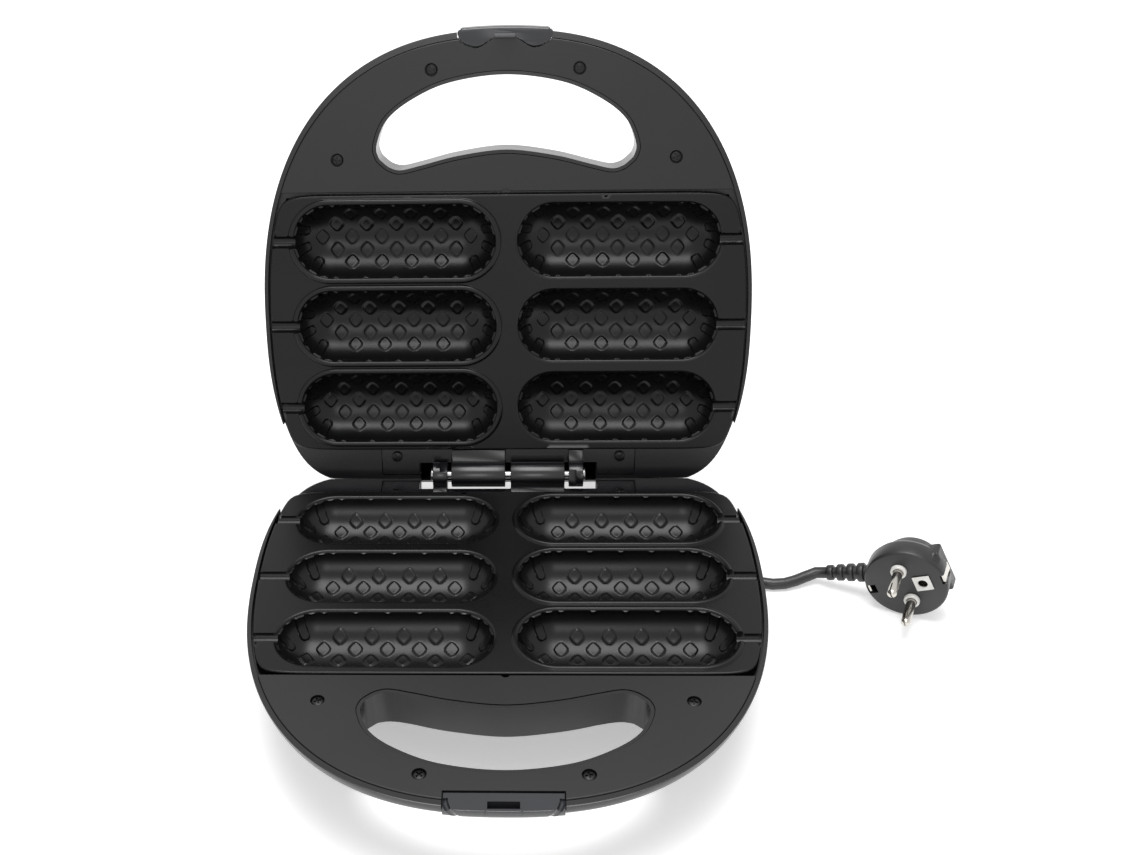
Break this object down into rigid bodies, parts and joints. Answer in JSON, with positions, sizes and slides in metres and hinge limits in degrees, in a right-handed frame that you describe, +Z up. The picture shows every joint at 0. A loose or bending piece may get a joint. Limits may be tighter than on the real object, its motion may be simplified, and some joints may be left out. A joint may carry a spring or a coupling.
{
  "type": "corn dog maker",
  "caption": "Countertop corn dog maker with a hinged lid, facing plates of long troughs, grip holes in both handles, a front latch, and a cord with an earthed plug.",
  "frame": {"origin": "bottom centre of the open appliance's box, without its cord and plug", "axes": "+Z up, handle and latch toward -Y, hinge axis along X at the rear"},
  "size_m": [0.3429, 0.3625, 0.261],
  "materials": {
    "shell_plastic": "glossy black moulded plastic",
    "cover_plastic": "satin black plastic with a fine texture",
    "non_stick_plate": "die-cast aluminium with a dark semi-gloss non-stick coating",
    "latch_plastic": "glossy dark grey plastic",
    "heater_steel": "steel tube heater",
    "shield_sheet": "bright aluminised sheet",
    "pin_steel": "drawn steel",
    "black_screw": "black oxide steel",
    "foot_rubber": "soft black rubber",
    "ceramic": "pale ceramic",
    "white_plastic": "white moulded plastic",
    "red_lens": "clear red plastic",
    "green_lens": "clear green plastic",
    "cord_jacket": "flexible black vinyl",
    "tie_plastic": "black strap",
    "pin_nickel": "nickel-plated brass"
  },
  "bodies": {
    "base": {"lower_shell": "shell_plastic", "lower_hinge_bridge": "shell_plastic", "lower_handle_cover": "cover_plastic", "lower_plate": "non_stick_plate", "lower_heater": "heater_steel", "lower_heat_shield": "shield_sheet", "lower_cover_screw_left_rear": "black_screw", "lower_cover_screw_right_rear": "black_screw", "lower_cover_screw_left_front": "black_screw", "lower_cover_screw_right_front": "black_screw", "lower_hinge_screw_left": "black_screw", "lower_hinge_screw_right": "black_screw", "hinge_pin": "pin_steel", "latch_keeper": "latch_plastic", "foot_left_rear": "foot_rubber", "foot_right_rear": "foot_rubber", "foot_left_front": "foot_rubber", "foot_right_front": "foot_rubber", "thermostat": "ceramic", "thermal_fuse": "white_plastic", "terminal_block": "white_plastic", "plug_collar_left": "white_plastic", "plug_collar_right": "white_plastic", "plug_earth_socket": "white_plastic", "cord_strain_relief": "cord_jacket", "cord_to_coil": "cord_jacket", "cord_coil": "cord_jacket", "cord_to_plug": "cord_jacket", "plug_body": "cord_jacket", "cord_tie": "tie_plastic", "plug_pin_left": "pin_nickel", "plug_pin_right": "pin_nickel", "plug_earth_clip_left": "pin_nickel", "plug_earth_clip_right": "pin_nickel", "plug_earth_contact": "pin_nickel"},
    "lid": {"upper_shell": "shell_plastic", "upper_hinge_bridge": "shell_plastic", "upper_handle_cover": "cover_plastic", "upper_plate": "non_stick_plate", "upper_heater": "heater_steel", "upper_heat_shield": "shield_sheet", "upper_cover_screw_left_rear": "black_screw", "upper_cover_screw_right_rear": "black_screw", "upper_cover_screw_left_front": "black_screw", "upper_cover_screw_right_front": "black_screw", "upper_hinge_screw_left": "black_screw", "upper_hinge_screw_right": "black_screw", "latch_pin": "pin_steel", "latch_spring": "pin_steel", "heating_lamp_lens": "red_lens", "ready_lamp_lens": "green_lens", "lamp_holder": "white_plastic"},
    "latch_lever": {"latch": "latch_plastic"}
  },
  "joints": [
    {"name": "lid_hinge", "type": "hinge", "parent": "base", "child": "lid", "pos_m": [0, 0.07178, 0.04775], "axis": [1, 0, 0], "range_deg": [0, 107.42]},
    {"name": "latch_pivot", "type": "hinge", "parent": "lid", "child": "latch_lever", "pos_m": [0, 0.1483, 0.25578], "axis": [-1, 0, 0], "range_deg": [0, 4], "stiffness_Nm_per_rad": 0.02, "springref_deg": -11.46}
  ]
}
